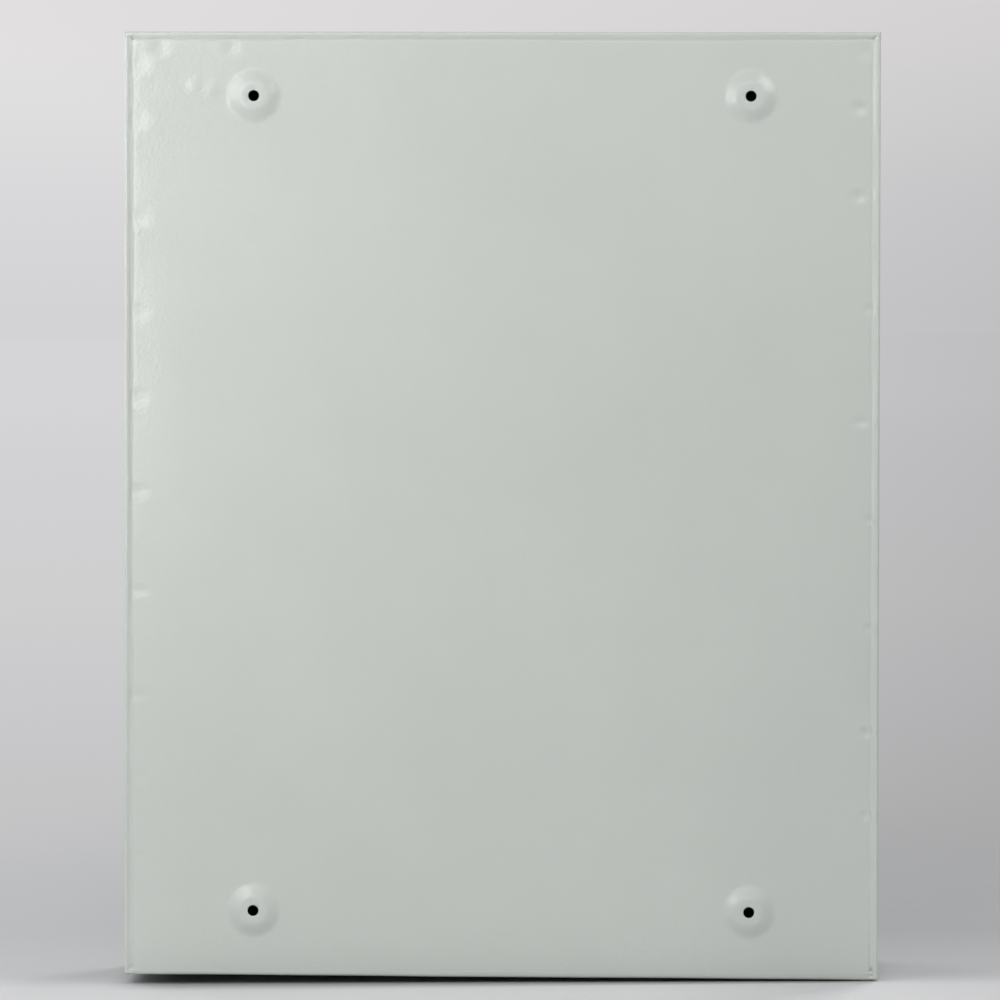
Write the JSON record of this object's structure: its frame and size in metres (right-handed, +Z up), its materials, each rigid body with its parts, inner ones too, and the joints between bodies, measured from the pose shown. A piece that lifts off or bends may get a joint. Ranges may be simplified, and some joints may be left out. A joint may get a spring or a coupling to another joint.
{
  "type": "residential load center",
  "caption": "Residential load center: steel wall box with a hinged door, dead front, main breaker, plug-on branch breakers, bus bars, and neutral and ground bars.",
  "frame": {"origin": "centre of the four wall mounting holes, in the plane of the wall against which the four bosses rest", "axes": "+X to the right seen from the front, +Y into the wall, out of the back of the box, +Z up"},
  "size_m": [0.365, 0.1042, 0.4554],
  "materials": {
    "grey_paint": "fine textured powder coat, light grey",
    "zinc_plated_steel": "zinc plated, dull",
    "bright_steel": "plated, satin",
    "tinned_aluminium": "tin plated, satin",
    "copper": "bare copper",
    "grey_moulding": "moulded, dark grey",
    "black_moulding": "moulded phenolic, black",
    "green_screw": "green lacquer",
    "card": "printed card"
  },
  "bodies": {
    "box": {"back_panel": "grey_paint", "left_side_wall": "grey_paint", "right_side_wall": "grey_paint", "top_end_wall": "grey_paint", "bottom_end_wall": "grey_paint", "side_knockouts": "grey_paint", "end_knockouts": "grey_paint", "interior_studs": "zinc_plated_steel", "interior_nuts": "zinc_plated_steel", "interior_pan": "zinc_plated_steel", "bus_insulator": "grey_moulding", "bus_bar_a": "tinned_aluminium", "bus_bar_b": "tinned_aluminium", "bus_bolts": "bright_steel", "main_breaker_case": "black_moulding", "main_lugs": "tinned_aluminium", "main_lug_screws": "bright_steel", "breaker_1_case": "black_moulding", "breaker_3_case": "black_moulding", "breaker_5_7_case": "black_moulding", "breaker_9_case": "black_moulding", "breaker_11_case": "black_moulding", "breaker_2_4_case": "black_moulding", "breaker_6_case": "black_moulding", "breaker_8_case": "black_moulding", "breaker_line_jaws": "copper", "breaker_load_lugs": "tinned_aluminium", "breaker_load_screws": "bright_steel", "neutral_bar_left": "tinned_aluminium", "neutral_bar_right": "tinned_aluminium", "neutral_cross_strap": "tinned_aluminium", "neutral_main_lug": "tinned_aluminium", "neutral_screws": "bright_steel", "neutral_insulators": "grey_moulding", "ground_bar": "tinned_aluminium", "ground_bar_screws": "bright_steel", "bonding_strap": "copper", "bonding_nut": "green_screw", "front_trim": "grey_paint", "trim_screws": "bright_steel", "dead_front": "grey_paint", "dead_front_rivets": "zinc_plated_steel", "filler_plates": "grey_moulding", "trim_hinge_leaves": "bright_steel", "hinge_pins": "zinc_plated_steel"},
    "door_leaf": {"door": "grey_paint", "door_hinge_leaves": "bright_steel", "latch_housing": "grey_moulding", "directory_card": "card"},
    "latch": {"latch_slider": "black_moulding"},
    "main_toggle": {"main_breaker_handle": "black_moulding"},
    "toggle_1": {"breaker_1_handle": "black_moulding"},
    "toggle_3": {"breaker_3_handle": "black_moulding"},
    "toggle_5_7": {"breaker_5_7_handle": "black_moulding"},
    "toggle_9": {"breaker_9_handle": "black_moulding"},
    "toggle_11": {"breaker_11_handle": "black_moulding"},
    "toggle_2_4": {"breaker_2_4_handle": "black_moulding"},
    "toggle_6": {"breaker_6_handle": "black_moulding"},
    "toggle_8": {"breaker_8_handle": "black_moulding"}
  },
  "joints": [
    {"name": "door_hinge", "type": "hinge", "parent": "box", "child": "door_leaf", "pos_m": [-0.1253, -0.1014, 0], "axis": [0, 0, -1], "range_deg": [0, 120]},
    {"name": "latch_slide", "type": "slide", "parent": "door_leaf", "child": "latch", "axis": [1, 0, 0], "range_m": [0, 0.006]},
    {"name": "main_toggle_pivot", "type": "hinge", "parent": "box", "child": "main_toggle", "pos_m": [0, -0.0718, 0.081], "axis": [1, 0, 0], "range_deg": [0, 36]},
    {"name": "toggle_1_pivot", "type": "hinge", "parent": "box", "child": "toggle_1", "pos_m": [-0.031, -0.0733, 0.0173], "axis": [0, 0, -1], "range_deg": [0, 36]},
    {"name": "toggle_3_pivot", "type": "hinge", "parent": "box", "child": "toggle_3", "pos_m": [-0.031, -0.0733, -0.0081], "axis": [0, 0, -1], "range_deg": [0, 36]},
    {"name": "toggle_5_7_pivot", "type": "hinge", "parent": "box", "child": "toggle_5_7", "pos_m": [-0.031, -0.0733, -0.0462], "axis": [0, 0, -1], "range_deg": [0, 36]},
    {"name": "toggle_9_pivot", "type": "hinge", "parent": "box", "child": "toggle_9", "pos_m": [-0.031, -0.0733, -0.0843], "axis": [0, 0, -1], "range_deg": [0, 36]},
    {"name": "toggle_11_pivot", "type": "hinge", "parent": "box", "child": "toggle_11", "pos_m": [-0.031, -0.0733, -0.1097], "axis": [0, 0, -1], "range_deg": [0, 36]},
    {"name": "toggle_2_4_pivot", "type": "hinge", "parent": "box", "child": "toggle_2_4", "pos_m": [0.031, -0.0733, 0.0046], "axis": [0, 0, 1], "range_deg": [0, 36]},
    {"name": "toggle_6_pivot", "type": "hinge", "parent": "box", "child": "toggle_6", "pos_m": [0.031, -0.0733, -0.0335], "axis": [0, 0, 1], "range_deg": [0, 36]},
    {"name": "toggle_8_pivot", "type": "hinge", "parent": "box", "child": "toggle_8", "pos_m": [0.031, -0.0733, -0.0589], "axis": [0, 0, 1], "range_deg": [0, 36]}
  ]
}
